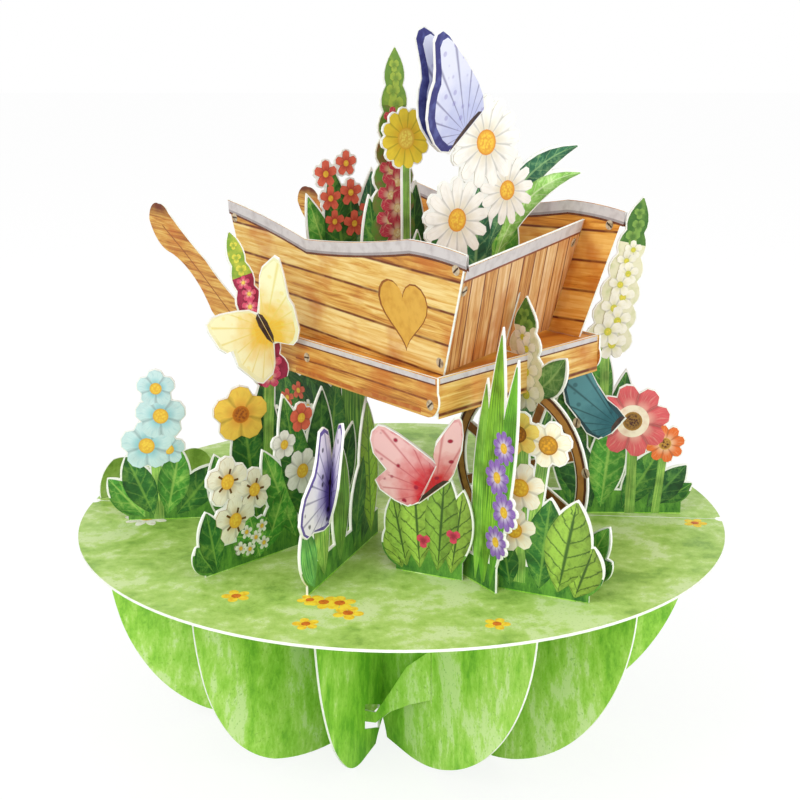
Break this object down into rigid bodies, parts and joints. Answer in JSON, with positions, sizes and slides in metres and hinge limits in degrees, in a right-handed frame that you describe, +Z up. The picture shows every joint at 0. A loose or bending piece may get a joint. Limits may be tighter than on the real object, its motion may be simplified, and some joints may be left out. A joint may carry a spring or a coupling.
{
  "type": "pop up card",
  "caption": "Pop-up card: round base on folded petal sheets, with cut flowers, butterflies and a wheelbarrow of flowers.",
  "frame": {"origin": "on the plane that the petals stand on, at the centre of the card's outline in plan", "axes": "+Z up, -Y towards the front that the picture shows, +X to its right"},
  "size_m": [0.15, 0.1588, 0.1628],
  "materials": {
    "printed_green": "satin",
    "printed_flowers": "satin",
    "printed_wood": "satin",
    "printed_wings": "satin"
  },
  "bodies": {
    "root": {"base_disc": "printed_green", "left_wing_sheet": "printed_flowers", "front_wing_sheet": "printed_flowers", "wheel_wing_sheet": "printed_flowers", "back_wing_sheet": "printed_flowers", "brace_strap": "printed_green", "tray_floor": "printed_wood", "tray_near_side": "printed_wood", "tray_far_side": "printed_wood", "tray_front_panel": "printed_wood", "tray_back_panel": "printed_wood", "front_cross_board": "printed_wood", "near_frame_board": "printed_wood", "far_frame_board": "printed_wood", "violet_butterfly": "printed_wings", "red_butterfly": "printed_wings", "yellow_butterfly": "printed_wings", "teal_butterfly": "printed_wings", "top_butterfly": "printed_wings", "red_clump_sheet": "printed_flowers", "yellow_flower_sheet": "printed_flowers", "pink_spike_sheet": "printed_flowers", "lilac_sheet": "printed_flowers", "hill_sheet": "printed_green", "red_blossom_sheet": "printed_flowers", "red_spike_sheet": "printed_flowers", "dandelion_sheet": "printed_flowers", "white_daisy_sheet": "printed_flowers"}
  },
  "joints": []
}
